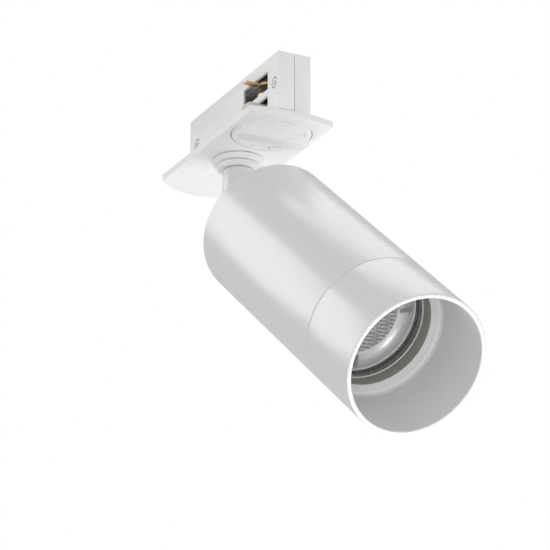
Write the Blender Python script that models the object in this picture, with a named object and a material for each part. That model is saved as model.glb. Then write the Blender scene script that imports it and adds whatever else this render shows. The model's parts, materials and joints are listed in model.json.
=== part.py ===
"""Track spotlight: a tubular GU10 head on a panning and tilting stem, under a rail adapter.

Metres, +Z up.  The origin is where the pan axis meets the adapter's seat, the flat upper
side of its plate, which lies against the underside of the rail.  +X runs along the rail
towards the lock knob, and +Y across it.
"""

import math

import bmesh
import bpy
from mathutils import Vector

MM = 0.001
GAP = 0.3 * MM  # clearance between pieces that touch
FINE = 40  # sides of the large round pieces
MEDIUM = 20
COARSE = 12

# Rest pose
REST_PAN = math.radians(7.0)  # beam direction seen from above, from +X
REST_TILT = math.radians(49.1)  # beam direction from straight down

# Adapter plate and body
PLATE_HALF = 17.8 * MM
PLATE_THICK = 2.5 * MM
PLATE_SOFT_APEX = -41.0 * MM  # crown of the strongly rounded end
PLATE_SOFT_RADIUS = 23.0 * MM
PLATE_FLAT_APEX = 48.3 * MM  # crown of the nearly straight end
PLATE_FLAT_RADIUS = 60.0 * MM
BODY_START = -30.0 * MM
BODY_END = 48.0 * MM
BODY_HALF = 6.9 * MM
BODY_TOP = 24.0 * MM
WALL = 1.1 * MM
FLOOR_TOP = 1.2 * MM
SHELL_FOOT = -0.1 * MM  # floor of the shallow seat in the plate that the near shell stands in
SHELL_SCREWS = ((-24.0 * MM, 12.0 * MM), (12.4 * MM, 6.2 * MM), (44.4 * MM, 12.0 * MM))
SCREW_RADIUS = 1.1 * MM
SCREW_HEAD = 2.1 * MM

# Rail lock
KNOB_X = 28.6 * MM
KNOB_RADIUS = 15.5 * MM
KNOB_THICK = 1.7 * MM
KNOB_RECESS = 2.0 * MM
KNOB_BAR_HALF = 3.4 * MM
KNOB_BAR_PROUD = 2.9 * MM
KNOB_HUB = 3.9 * MM
SHAFT_RADIUS = 2.0 * MM
SHAFT_TOP = 22.2 * MM
CAM_HUB = 5.0 * MM
CAM_REACH = 11.6 * MM
CAM_BOTTOM = 1.9 * MM
CAM_WING_BOTTOM = 4.9 * MM
CAM_TOP = 8.3 * MM
DRUM_RADIUS = 5.4 * MM
DRUM_BOTTOM = 10.6 * MM
DRUM_TOP = 20.4 * MM
CONTACT_RING = 5.6 * MM
CONTACT_HEIGHT = 1.4 * MM
LIVE_LEVEL = 13.0 * MM
NEUTRAL_LEVEL = 17.4 * MM
SWEEP_RADIUS = 12.4 * MM  # room that the wings and the contacts turn in

# Swivel
TUBE_RADIUS = 4.0 * MM  # threaded tubes of the stem and of the neck
WIRE_BORE = 2.4 * MM
LEAD_RADIUS = 0.6 * MM
BEZEL_RADIUS = 10.1 * MM
BEZEL_END = -4.8 * MM  # underside of the fixed bezel, and of the disc that turns below it
DISC_RADIUS = 8.5 * MM
DISC_END = -7.0 * MM
STEM_RADIUS = 6.3 * MM
STEM_TUBE_TOP = 8.6 * MM
PIVOT_DROP = 20.7 * MM  # tilt axis below the seat
FORK_SLOT_HALF = 2.9 * MM
FORK_SLOT_TOP = 7.2 * MM  # above the tilt axis
PIN_RADIUS = 1.7 * MM
PIN_HEAD = 3.0 * MM
PIN_SEAT = 4.2 * MM  # floor of the pin's counterbores, from the middle
PAN_NUT_HALF_FLATS = 4.8 * MM

# Head, measured from the tilt axis along the beam
HEAD_RADIUS = 27.5 * MM
TUBE_WALL = 1.6 * MM
BACK = 28.0 * MM
FRONT = 151.6 * MM
SEAM = 119.2 * MM
RING_WALL = 1.8 * MM
NECK_SHOULDER = 7.4 * MM
NECK_TUBE_END = 36.8 * MM
CAP_FACE = 29.2 * MM
CAP_THICK = 2.2 * MM
CAP_SKIRT_END = 39.0 * MM
SCREW_CIRCLE = 17.0 * MM
CAP_SCREW = 1.4 * MM
BRACKET_LEG = 12.0 * MM
BRACKET_THICK = 1.2 * MM
BRIDGE_TOP = 47.8 * MM
HOLDER_FRONT = 63.2 * MM
HOLDER_RADIUS = 14.5 * MM
HOLDER_SCREW_X = 10.0 * MM
HOLDER_SCREW = 1.2 * MM

# Lamp
LAMP_FRONT = 109.8 * MM
LAMP_RADIUS = 25.0 * MM
LAMP_SHELL_END = 108.4 * MM
LAMP_SHELL_WALL = 1.6 * MM
LAMP_CAP_END = 74.0 * MM
LAMP_PIN_START = 56.4 * MM
BOARD_RADIUS = 19.0 * MM
BOARD_FACE = 98.4 * MM
LAMP_CAP_RADIUS = 9.5 * MM
PIN_CIRCLE = 5.0 * MM
LAMP_PIN = 1.5 * MM
LAMP_PIN_HEAD = 2.4 * MM
LAMP_TWIST = math.radians(20.0)
LENS_RADIUS = 14.3 * MM
BOWL_RADIUS = 20.9 * MM

# Front ring
SLEEVE_END = 111.0 * MM
LEDGE_FACE = 121.0 * MM  # where the ledge meets the wall
LEDGE_EDGE = 118.8 * MM  # where it drops into the collar
LEDGE_INNER = 22.4 * MM


# ---------------------------------------------------------------- materials

FINISHES = {
    "white_plastic": ((0.86, 0.86, 0.87), 0.42, 0.0),
    "white_paint": ((0.83, 0.83, 0.84), 0.48, 0.0),
    "collar_paint": ((0.24, 0.25, 0.22), 0.35, 0.2),
    "black_plastic": ((0.03, 0.03, 0.032), 0.5, 0.0),
    "natural_plastic": ((0.75, 0.73, 0.68), 0.5, 0.0),
    "ceramic": ((0.82, 0.8, 0.76), 0.5, 0.0),
    "zinc_steel": ((0.62, 0.63, 0.65), 0.32, 1.0),
    "copper_alloy": ((0.78, 0.55, 0.3), 0.3, 1.0),
    "lead_brown": ((0.2, 0.09, 0.05), 0.5, 0.0),
    "lead_blue": ((0.05, 0.13, 0.42), 0.5, 0.0),
    "lamp_shell": ((0.8, 0.8, 0.8), 0.4, 0.0),
    "lamp_bowl": ((0.84, 0.85, 0.82), 0.3, 0.0),
    "lamp_optic": ((0.8, 0.82, 0.8), 0.15, 0.0),
    "lamp_rim": ((0.9, 0.9, 0.9), 0.2, 0.6),
    "circuit_board": ((0.8, 0.8, 0.74), 0.4, 0.0),
}


def finish(name):
    """The material of this finish, made once."""
    made = bpy.data.materials.get(name)
    if made:
        return made
    colour, roughness, metallic = FINISHES[name]
    made = bpy.data.materials.new(name)
    made.use_nodes = True
    shader = made.node_tree.nodes["Principled BSDF"]
    shader.inputs["Base Color"].default_value = (*colour, 1.0)
    shader.inputs["Roughness"].default_value = roughness
    shader.inputs["Metallic"].default_value = metallic
    return made


# ---------------------------------------------------------------- shape tools


def add(name, bm, parent, look, smooth=True):
    """A new object from a finished bmesh, with its normals facing out."""
    bmesh.ops.recalc_face_normals(bm, faces=bm.faces)
    if bm.calc_volume(signed=True) < 0:
        bmesh.ops.reverse_faces(bm, faces=bm.faces)
    mesh = bpy.data.meshes.new(name)
    bm.to_mesh(mesh)
    bm.free()
    if smooth:
        mesh.shade_smooth()
        mesh.set_sharp_from_angle(angle=math.radians(35))
    obj = bpy.data.objects.new(name, mesh)
    bpy.context.scene.collection.objects.link(obj)
    obj.parent = parent
    if look:
        mesh.materials.append(finish(look))
    return obj


def cutter(name, bm, parent):
    obj = add(name, bm, parent, None, smooth=False)
    obj.hide_render = True
    obj.display_type = "WIRE"
    return obj


def cutters(name, shapes, parent):
    return [cutter(f"{name}_{i}", bm, parent) for i, bm in enumerate(shapes)]


def boolean(obj, operation, tools):
    for tool in tools:
        step = obj.modifiers.new(tool.name, "BOOLEAN")
        step.operation = operation
        step.solver = "EXACT"
        step.object = tool


def turned(outline, sides, axis="Z", centre=(0, 0, 0)):
    """A solid of revolution.  The outline is a closed loop of (radius, height) points."""
    bm = bmesh.new()
    points = [bm.verts.new((r, 0, z)) for r, z in outline]
    edges = [bm.edges.new((a, b)) for a, b in zip(points, points[1:] + points[:1])]
    edges = [e for e in edges if max(abs(v.co.x) for v in e.verts) > 0]
    bmesh.ops.spin(
        bm, geom=edges, cent=(0, 0, 0), axis=(0, 0, 1), angle=math.tau, steps=sides, use_merge=True
    )
    bmesh.ops.remove_doubles(bm, verts=bm.verts, dist=1e-6)
    loose = [v for v in bm.verts if not v.link_faces]
    bmesh.ops.delete(bm, geom=loose, context="VERTS")
    loose = [e for e in bm.edges if not e.link_faces]
    bmesh.ops.delete(bm, geom=loose, context="EDGES")
    return placed(bm, axis, centre)


def placed(bm, axis="Z", centre=(0, 0, 0)):
    """Turns a shape made along +Z to the given axis, and moves it."""
    target = {"X": Vector((1, 0, 0)), "Y": Vector((0, 1, 0)), "Z": Vector((0, 0, 1))}[axis]
    turn = Vector((0, 0, 1)).rotation_difference(target).to_matrix()
    bmesh.ops.rotate(bm, cent=(0, 0, 0), matrix=turn, verts=bm.verts)
    bmesh.ops.translate(bm, vec=centre, verts=bm.verts)
    return bm


def ring(outer, inner, low, high, sides=FINE, chamfer=0.0, axis="Z", centre=(0, 0, 0)):
    """A tube, or a plain cylinder where inner is 0, with its outer edges chamfered."""
    outline = [
        (inner, low),
        (outer - chamfer, low),
        (outer, low + chamfer),
        (outer, high - chamfer),
        (outer - chamfer, high),
        (inner, high),
    ]
    if not chamfer:
        outline = [(inner, low), (outer, low), (outer, high), (inner, high)]
    return turned(outline, sides, axis, centre)


def prism(outline, low, high, axis="Z", centre=(0, 0, 0)):
    """An outline of (x, y) points extruded along its normal."""
    bm = bmesh.new()
    face = bm.faces.new([bm.verts.new((x, y, low)) for x, y in outline])
    lifted = bmesh.ops.extrude_face_region(bm, geom=[face])
    moved = [v for v in lifted["geom"] if isinstance(v, bmesh.types.BMVert)]
    bmesh.ops.translate(bm, vec=(0, 0, high - low), verts=moved)
    return placed(bm, axis, centre)


def block(size, centre, bevel=0.0):
    bm = bmesh.new()
    bmesh.ops.create_cube(bm, size=1.0)
    bmesh.ops.scale(bm, vec=size, verts=bm.verts)
    if bevel:
        bmesh.ops.bevel(bm, geom=bm.edges[:], offset=bevel, segments=1, affect="EDGES")
    bmesh.ops.translate(bm, vec=centre, verts=bm.verts)
    return bm


def arc(radius, start, end, steps, centre=(0.0, 0.0)):
    """Points along an arc, both ends included."""
    turns = [start + (end - start) * i / steps for i in range(steps + 1)]
    return [(centre[0] + radius * math.cos(t), centre[1] + radius * math.sin(t)) for t in turns]


def arc_slot(circle, half_width, start, end, steps=8):
    """Outline of a slot with round ends that follows a circle."""
    outer = arc(circle + half_width, start, end, steps)
    inner = arc(circle - half_width, end, start, steps)
    far = arc(half_width, end, end + math.pi, steps, polar(circle, end))
    near = arc(half_width, start + math.pi, start + math.tau, steps, polar(circle, start))
    return outer + far[1:-1] + inner + near[1:-1]


def polar(radius, angle):
    return (radius * math.cos(angle), radius * math.sin(angle))


def hexagon(half_flats):
    return [polar(half_flats / math.cos(math.pi / 6), math.pi / 3 * i) for i in range(6)]


def wire(name, points, radius, parent, look):
    """A lead along a smooth curve through the points, as a closed tube."""
    curve = bpy.data.curves.new(name, "CURVE")
    curve.dimensions = "3D"
    curve.bevel_depth = radius
    curve.bevel_resolution = 1
    curve.use_fill_caps = True
    spline = curve.splines.new("POLY")
    route = smooth_route([Vector(p) for p in points], 3)
    spline.points.add(len(route) - 1)
    for point, place in zip(spline.points, route):
        point.co = (*place, 1.0)
    obj = bpy.data.objects.new(name, curve)
    bpy.context.scene.collection.objects.link(obj)
    obj.parent = parent
    curve.materials.append(finish(look))
    return obj


def smooth_route(knots, steps):
    """A Catmull-Rom curve through the knots."""
    ends = [2 * knots[0] - knots[1]] + knots + [2 * knots[-1] - knots[-2]]
    route = []
    for a, b, c, d in zip(ends, ends[1:], ends[2:], ends[3:]):
        for i in range(steps):
            t = i / steps
            route.append(
                0.5
                * (
                    2 * b
                    + (c - a) * t
                    + (2 * a - 5 * b + 4 * c - d) * t * t
                    + (3 * b - a - 3 * c + d) * t ** 3
                )
            )
    return route + [knots[-1]]


def screw(name, head, radius, head_length, length, axis, centre, parent):
    """A pan head screw along +axis, with its head's top face at the centre point."""
    outline = [
        (0, 0),
        (head * 0.8, 0),
        (head, head_length * 0.35),
        (head, head_length),
        (radius, head_length),
        (radius, length - radius * 0.5),
        (radius * 0.5, length),
        (0, length),
    ]
    obj = add(name, turned(outline, COARSE, axis, centre), parent, "zinc_steel")
    socket = prism(hexagon(head * 0.42), -GAP, head_length * 0.6, axis, centre)
    boolean(obj, "DIFFERENCE", [cutter(name + "_socket", socket, parent)])


def frame(name, parent=None, place=(0, 0, 0), turn=(0, 0, 0)):
    empty = bpy.data.objects.new(name, None)
    bpy.context.scene.collection.objects.link(empty)
    empty.parent = parent
    empty.location = place
    empty.rotation_euler = turn
    return empty


# ---------------------------------------------------------------- adapter


def plate_outline():
    """The plate seen from above: one strongly rounded end and one nearly straight one."""
    outline = []
    for apex, radius, middle in (
        (PLATE_FLAT_APEX, PLATE_FLAT_RADIUS, 0.0),
        (PLATE_SOFT_APEX, -PLATE_SOFT_RADIUS, math.pi),
    ):
        turn = math.asin(PLATE_HALF / abs(radius))
        outline += arc(abs(radius), middle - turn, middle + turn, 18, (apex - radius, 0))
    return outline


def adapter_shell(name, side):
    """Half of the narrow hollow body that enters the rail; the far half carries the plate too."""
    length = BODY_END - BODY_START
    centre_x = (BODY_END + BODY_START) / 2
    low = -PLATE_THICK / 2 if side > 0 else SHELL_FOOT + GAP
    body = block(
        (length, 2 * BODY_HALF, BODY_TOP - low), (centre_x, 0, (BODY_TOP + low) / 2), 0.5 * MM
    )
    hollow = block(
        (length - 2 * WALL, 2 * (BODY_HALF - WALL), BODY_TOP - WALL - FLOOR_TOP),
        (centre_x, 0, (BODY_TOP - WALL + FLOOR_TOP) / 2),
    )
    boss = SCREW_HEAD + 1.1 * MM
    reach = BODY_HALF - 0.5 * MM
    added = [
        ring(boss, 0, -reach, reach, COARSE, axis="Y", centre=(x, 0, z)) for x, z in SHELL_SCREWS
    ]
    if side > 0:
        pan_stop = block((0.9 * MM, 1.6 * MM, 2.4 * MM), (-5.4 * MM, 0, FLOOR_TOP + 0.6 * MM))
        added.append(pan_stop)
        seat = BODY_HALF + 1.5 * GAP
        other_half = block(
            (length + 2 * GAP, seat, 0.1), (centre_x, (GAP - seat) / 2, SHELL_FOOT + 0.05)
        )
        shell = add(name, prism(plate_outline(), -PLATE_THICK, 0), None, "white_plastic")
        boolean(shell, "UNION", [cutter(name + "_body", body, None)])
    else:
        other_half = block((0.2, 0.1, 0.1), (0, 0.05 - GAP / 2, 0))
        shell = add(name, body, None, "white_plastic")
    boolean(shell, "DIFFERENCE", [cutter(name + "_hollow", hollow, None)])
    boolean(shell, "UNION", cutters(name + "_boss", added, None))
    boolean(shell, "DIFFERENCE", cutters(name + "_room", [*shell_rooms(), other_half], None))


def shell_rooms():
    """What is cut out of the shells: the knob's recess, the bores, the sweeps and the screws."""
    knob = (KNOB_X, 0, 0)
    recess = KNOB_RADIUS + 0.4 * MM
    hub = KNOB_HUB + GAP
    over = FLOOR_TOP + 0.4 * MM
    under = -PLATE_THICK - 1 * MM
    seat = KNOB_RECESS - PLATE_THICK
    stepped = [(0, under), (recess, under), (recess, seat), (hub, seat), (hub, over), (0, over)]
    yield turned(stepped, FINE, centre=knob)
    yield ring(TUBE_RADIUS + GAP, 0, under, over, MEDIUM)
    yield ring(SWEEP_RADIUS, 0, CAM_WING_BOTTOM - 0.5 * MM, CAM_TOP + 0.5 * MM, centre=knob)
    yield ring(SWEEP_RADIUS, 0, LIVE_LEVEL - 1.6 * MM, NEUTRAL_LEVEL + 1.6 * MM, centre=knob)
    hole = SCREW_RADIUS + GAP
    head = SCREW_HEAD + GAP
    outline = [
        (0, -2 * BODY_HALF),
        (head, -2 * BODY_HALF),
        (head, 1.7 * MM - BODY_HALF),
        (hole, 1.7 * MM - BODY_HALF),
        (hole, BODY_HALF - 1.0 * MM),
        (0, BODY_HALF - 1.0 * MM),
    ]
    for x, z in SHELL_SCREWS:
        yield turned(outline, COARSE, "Y", (x, 0, z))


def strip(points, thickness, width, level=0.0):
    """A bent strip: an outline of the given thickness along a polyline, extruded both ways."""
    sides = []
    for i, (x, y) in enumerate(points):
        before = Vector(points[max(i - 1, 0)])
        after = Vector(points[min(i + 1, len(points) - 1)])
        along = (after - before).normalized()
        sides.append((x - along.y * thickness / 2, y + along.x * thickness / 2))
    back = [(2 * p[0] - s[0], 2 * p[1] - s[1]) for p, s in zip(points, sides)]
    return prism(sides + back[::-1], level - width / 2, level + width / 2)


def upright(bm):
    """Stands a shape made in the XY plane up in the XZ plane."""
    turn = Vector((0, 1, 0)).rotation_difference(Vector((0, 0, 1))).to_matrix()
    bmesh.ops.rotate(bm, cent=(0, 0, 0), matrix=turn, verts=bm.verts)
    return bm


def adapter():
    adapter_shell("adapter_shell_far", 1)
    adapter_shell("adapter_shell_near", -1)
    for i, (x, z) in enumerate(SHELL_SCREWS):
        place = (x, 0.2 * MM - BODY_HALF, z)
        screw(f"shell_screw_{i + 1}", SCREW_HEAD, SCREW_RADIUS, 1.0 * MM, 11.6 * MM, "Y", place, None)
    bore = TUBE_RADIUS + GAP
    bezel = ring(BEZEL_RADIUS, bore, BEZEL_END, -PLATE_THICK - GAP, FINE, 0.35 * MM)
    add("swivel_bezel", bezel, None, "white_plastic")
    rise = [(-9, 0), (-7, 0), (-4, 1.5), (0, 2.1), (4, 1.5), (7, 0), (9, 0)]
    arch = strip([(x * MM, y * MM) for x, y in rise], 0.4 * MM, 5.0 * MM)
    upright(arch)
    bmesh.ops.translate(arch, vec=(-16 * MM, 0, BODY_TOP + 0.55 * MM), verts=arch.verts)
    add("earth_contact", arch, None, "copper_alloy", smooth=False)
    wipers()
    leaf = block(
        (0.4 * MM, 9.0 * MM, 2.6 * MM), (KNOB_X - CAM_HUB - 0.6 * MM, 0, FLOOR_TOP + 1.7 * MM)
    )
    add("detent_spring", leaf, None, "zinc_steel", smooth=False)


def wipers():
    """Fixed brushes on the contact rings, and the leads from them down the stem's bore."""
    touch = CONTACT_RING + GAP
    for name, level, way, reach in (
        ("neutral_wiper", NEUTRAL_LEVEL, -1, 15.5 * MM),
        ("live_wiper", LIVE_LEVEL, 1, 11.0 * MM),
    ):
        bend = [(touch + 0.25 * MM, 1.6 * MM), (touch + 0.25 * MM, 0), (touch + 1.6 * MM, -1.2 * MM)]
        bend.append((reach, -1.2 * MM))
        brush = strip([(KNOB_X + way * x, y) for x, y in bend], 0.4 * MM, 1.2 * MM, level)
        add(name, brush, None, "copper_alloy", smooth=False)
    drop = SHAFT_TOP - 0.4 * MM
    tip = -11.0 * MM
    side = BODY_HALF - WALL - 1.0 * MM
    wire(
        "adapter_lead_neutral",
        [
            (KNOB_X - 16.2 * MM, -1.2 * MM, NEUTRAL_LEVEL),
            (6 * MM, -1.0 * MM, 17.0 * MM),
            (0.0, -0.8 * MM, 13.5 * MM),
            (0.0, -0.8 * MM, 7.0 * MM),
            (0.0, -0.8 * MM, tip),
        ],
        LEAD_RADIUS, None, "lead_blue",
    )
    wire(
        "adapter_lead_live",
        [
            (KNOB_X + 11.6 * MM, -1.2 * MM, LIVE_LEVEL),
            (KNOB_X + 13.6 * MM, 0.6 * MM, 16.5 * MM),
            (KNOB_X + 12.0 * MM, side, drop - 0.6 * MM),
            (KNOB_X + 4 * MM, side, drop),
            (KNOB_X - 8 * MM, side, drop),
            (8 * MM, side * 0.7, drop - 0.6 * MM),
            (1.0 * MM, 1.2 * MM, 14.5 * MM),
            (0.0, 0.8 * MM, 8.0 * MM),
            (0.0, 0.8 * MM, tip),
        ],
        LEAD_RADIUS, None, "lead_brown",
    )


# ---------------------------------------------------------------- rail lock


def knob(parent):
    """The round knob: a disc flush with the plate, a grip bar across it, and a hub."""
    face = -PLATE_THICK
    back = face + KNOB_THICK
    disc = ring(KNOB_RADIUS, 0, face, back, FINE, 0.3 * MM)
    obj = add("lock_knob", disc, parent, "white_plastic")
    hub = ring(KNOB_HUB, 0, back - 0.5 * MM, FLOOR_TOP + 0.4 * MM, MEDIUM)
    turn = math.asin(KNOB_BAR_HALF / (KNOB_RADIUS - 0.5 * MM))
    bar = arc(KNOB_RADIUS - 0.5 * MM, math.pi / 2 - turn, math.pi / 2 + turn, 6)
    bar += arc(KNOB_RADIUS - 0.5 * MM, 1.5 * math.pi - turn, 1.5 * math.pi + turn, 6)
    grip = prism(bar, face - KNOB_BAR_PROUD, face + 0.5 * MM)
    bore = ring(SHAFT_RADIUS + GAP, 0, face + 0.9 * MM, 3 * MM, MEDIUM)
    boolean(
        obj, "UNION", [cutter("knob_hub", hub, parent), cutter("knob_grip", grip, parent)]
    )
    cuts = [cutter("knob_bore", bore, parent)]
    for way in (0, math.pi):
        reach = KNOB_RADIUS - 2.2 * MM
        start = math.acos((KNOB_BAR_HALF + 0.5 * MM) / reach)
        pocket = prism(arc(reach, way - start, way + start, 16), face - 1 * MM, face + 0.8 * MM)
        cuts.append(cutter(f"knob_pocket_{len(cuts)}", pocket, parent))
    boolean(obj, "DIFFERENCE", cuts)


def contact(name, level, way, parent):
    """A contact ring on the drum with a blade that reaches into the rail's conductor."""
    low, high = level - CONTACT_HEIGHT / 2, level + CONTACT_HEIGHT / 2
    band = ring(CONTACT_RING, SHAFT_RADIUS + 1.9 * MM, low, high, MEDIUM)
    obj = add(name, band, parent, "copper_alloy")
    length = CAM_REACH - CONTACT_RING + 1.0 * MM
    blade = block(
        (3.2 * MM, length, 0.8 * MM), (0, way * (CAM_REACH - length / 2), level), 0.2 * MM
    )
    boolean(obj, "UNION", [cutter(name + "_blade", blade, parent)])


def rail_lock():
    axis = frame("lock_axis", place=(KNOB_X, 0, 0))
    knob(axis)
    low = -PLATE_THICK + 1.2 * MM
    add("lock_shaft", ring(SHAFT_RADIUS, 0, low, SHAFT_TOP, MEDIUM, 0.3 * MM), axis, "zinc_steel")
    bore = SHAFT_RADIUS + GAP
    cam = add("lock_cam", ring(CAM_HUB, bore, CAM_BOTTOM, CAM_TOP, MEDIUM), axis, "natural_plastic")
    half = 3.3 * MM
    turn = math.asin(half / CAM_REACH)
    for way in (1, -1):
        mid = way * math.pi / 2
        tip = arc(CAM_REACH, mid - turn, mid + turn, 6)
        root = CAM_HUB - 0.8 * MM
        wing = tip + [(-way * half, way * root), (way * half, way * root)]
        bm = prism(wing, CAM_WING_BOTTOM, CAM_TOP - 0.2 * MM)
        boolean(cam, "UNION", [cutter(f"cam_wing_{way + 2}", bm, axis)])
    drum = [(bore, DRUM_BOTTOM), (DRUM_RADIUS, DRUM_BOTTOM)]
    groove = SHAFT_RADIUS + 1.6 * MM
    for level in (LIVE_LEVEL, NEUTRAL_LEVEL):
        half = CONTACT_HEIGHT / 2 + GAP
        drum += [
            (DRUM_RADIUS, level - half),
            (groove, level - half),
            (groove, level + half),
            (DRUM_RADIUS, level + half),
        ]
    drum += [(DRUM_RADIUS, DRUM_TOP), (bore, DRUM_TOP)]
    add("contact_drum", turned(drum, MEDIUM), axis, "black_plastic")
    contact("live_contact", LIVE_LEVEL, 1, axis)
    contact("neutral_contact", NEUTRAL_LEVEL, -1, axis)
    clip = ring(3.9 * MM, bore, DRUM_TOP + GAP, DRUM_TOP + 1.0 * MM, MEDIUM)
    add("shaft_clip", clip, axis, "zinc_steel")


# ---------------------------------------------------------------- swivel


def stem_fork(parent):
    """The vertical stem: a threaded tube through the plate, and a fork round the tilt axis."""
    top = DISC_END - GAP
    bore_end = FORK_SLOT_TOP - PIVOT_DROP - 0.5 * MM
    under = -PIVOT_DROP - STEM_RADIUS - 1 * MM
    soft = 0.3 * MM
    outline = [
        (WIRE_BORE, STEM_TUBE_TOP),
        (WIRE_BORE, bore_end),
        (0, bore_end),
        (0, under),
        (STEM_RADIUS, under),
        (STEM_RADIUS, top - soft),
        (STEM_RADIUS - soft, top),
        (TUBE_RADIUS, top),
        (TUBE_RADIUS, STEM_TUBE_TOP - soft),
        (TUBE_RADIUS - soft, STEM_TUBE_TOP),
    ]
    obj = add("stem_fork", turned(outline, FINE), parent, "white_paint")
    reach = 2 * STEM_RADIUS
    side = STEM_RADIUS + 1 * MM
    high = 2 * STEM_TUBE_TOP
    end = arc(STEM_RADIUS, math.pi, math.tau, 16, (0, -PIVOT_DROP))
    silhouette = [(side, high), (-side, high), (-side, -PIVOT_DROP), *end, (side, -PIVOT_DROP)]
    envelope = upright(prism(silhouette, -reach, reach))
    slot = block(
        (2 * reach, 2 * FORK_SLOT_HALF, FORK_SLOT_TOP + reach),
        (0, 0, -PIVOT_DROP + (FORK_SLOT_TOP - reach) / 2),
    )
    pivot = (0, 0, -PIVOT_DROP)
    hole, seat = PIN_RADIUS + GAP, PIN_HEAD + 0.4 * MM
    stepped = [
        (0, -reach),
        (seat, -reach),
        (seat, -PIN_SEAT),
        (hole, -PIN_SEAT),
        (hole, PIN_SEAT),
        (seat, PIN_SEAT),
        (seat, reach),
        (0, reach),
    ]
    cuts = [slot, turned(stepped, MEDIUM, "Y", pivot)]
    boolean(obj, "INTERSECT", [cutter("fork_envelope", envelope, parent)])
    boolean(obj, "DIFFERENCE", cutters("fork_cut", cuts, parent))


def tilt_hardware(parent):
    """The pin that the head tilts on, a shoulder screw from one cheek to the nut in the other."""
    head = PIN_SEAT + GAP
    outline = [
        (0, -head - 1.0 * MM),
        (PIN_HEAD - 0.3 * MM, -head - 1.0 * MM),
        (PIN_HEAD, -head - 0.7 * MM),
        (PIN_HEAD, -head),
        (PIN_RADIUS, -head),
        (PIN_RADIUS, PIN_SEAT - 0.2 * MM),
        (1.2 * MM, PIN_SEAT - 0.2 * MM),
        (1.2 * MM, head + 1.0 * MM),
        (0, head + 1.0 * MM),
    ]
    pivot = (0, 0, -PIVOT_DROP)
    pin = add("tilt_pin", turned(outline, MEDIUM, "Y", pivot), parent, "zinc_steel")
    socket = prism(hexagon(1.1 * MM), -head - 2 * MM, -head - 0.4 * MM, "Y", pivot)
    boolean(pin, "DIFFERENCE", [cutter("tilt_pin_socket", socket, parent)])
    nut = prism(hexagon(2.6 * MM), head, head + 0.9 * MM, "Y", pivot)
    obj = add("tilt_nut", nut, parent, "zinc_steel", smooth=False)
    hole = ring(1.5 * MM, 0, 0, 10 * MM, COARSE, axis="Y", centre=pivot)
    boolean(obj, "DIFFERENCE", [cutter("tilt_nut_hole", hole, parent)])


def swivel():
    axis = frame("pan_axis", turn=(0, 0, REST_PAN))
    bore = TUBE_RADIUS + GAP
    disc = ring(DISC_RADIUS, bore, DISC_END, BEZEL_END - GAP, FINE, 0.35 * MM)
    add("swivel_disc", disc, axis, "white_plastic")
    stem_fork(axis)
    tilt_hardware(axis)
    base = FLOOR_TOP + GAP
    washer = add(
        "pan_stop_washer", ring(4.75 * MM, bore, base, base + 0.8 * MM, MEDIUM), axis, "zinc_steel"
    )
    tab = block((1.6 * MM, 0.9 * MM, 0.8 * MM), (4.9 * MM, 0, base + 0.4 * MM))
    boolean(washer, "UNION", [cutter("pan_stop_tab", tab, axis)])
    base += 0.8 * MM + GAP
    add("pan_spring_washer", ring(4.9 * MM, bore, base, base + 0.6 * MM, MEDIUM), axis, "zinc_steel")
    base += 0.6 * MM + GAP
    nut = prism(hexagon(PAN_NUT_HALF_FLATS), base, base + 3.6 * MM)
    obj = add("pan_nut", nut, axis, "zinc_steel", smooth=False)
    hole = ring(bore, 0, 0, 20 * MM, MEDIUM)
    boolean(obj, "DIFFERENCE", [cutter("pan_nut_hole", hole, axis)])
    return axis


# ---------------------------------------------------------------- head


def neck(parent):
    """The tongue in the fork, the short neck behind the head, and its threaded tube."""
    flange = BACK - 1.8 * MM
    seat = CAP_FACE - GAP
    outline = [
        (0, NECK_SHOULDER + 2.4 * MM),
        (WIRE_BORE, NECK_SHOULDER + 2.4 * MM),
        (WIRE_BORE, NECK_TUBE_END),
        (TUBE_RADIUS, NECK_TUBE_END),
        (TUBE_RADIUS, seat),
        (DISC_RADIUS, seat),
        (DISC_RADIUS, flange + 0.4 * MM),
        (DISC_RADIUS - 0.4 * MM, flange),
        (STEM_RADIUS, flange),
        (STEM_RADIUS, NECK_SHOULDER + 0.4 * MM),
        (STEM_RADIUS - 0.4 * MM, NECK_SHOULDER),
        (0, NECK_SHOULDER),
    ]
    obj = add("neck", turned(outline, FINE), parent, "white_paint")
    radius = STEM_RADIUS - 0.3 * MM
    tongue = arc(radius, math.pi, math.tau, 16) + [
        (radius - 0.7 * MM, NECK_SHOULDER + 1 * MM), (0.7 * MM - radius, NECK_SHOULDER + 1 * MM)
    ]
    tongue = upright(prism(tongue, GAP - FORK_SLOT_HALF, FORK_SLOT_HALF - GAP))
    boolean(obj, "UNION", [cutter("neck_tongue", tongue, parent)])
    hole = ring(PIN_RADIUS + GAP, 0, -9 * MM, 9 * MM, MEDIUM, axis="Y")
    boolean(obj, "DIFFERENCE", [cutter("neck_hole", hole, parent)])


def screw_holes():
    """The two holes that the cap and the bracket's feet share."""
    for way in (1, -1):
        yield ring(
            CAP_SCREW + GAP, 0, 20 * MM, 40 * MM, COARSE, centre=(way * SCREW_CIRCLE, 0, 0)
        )


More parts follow.
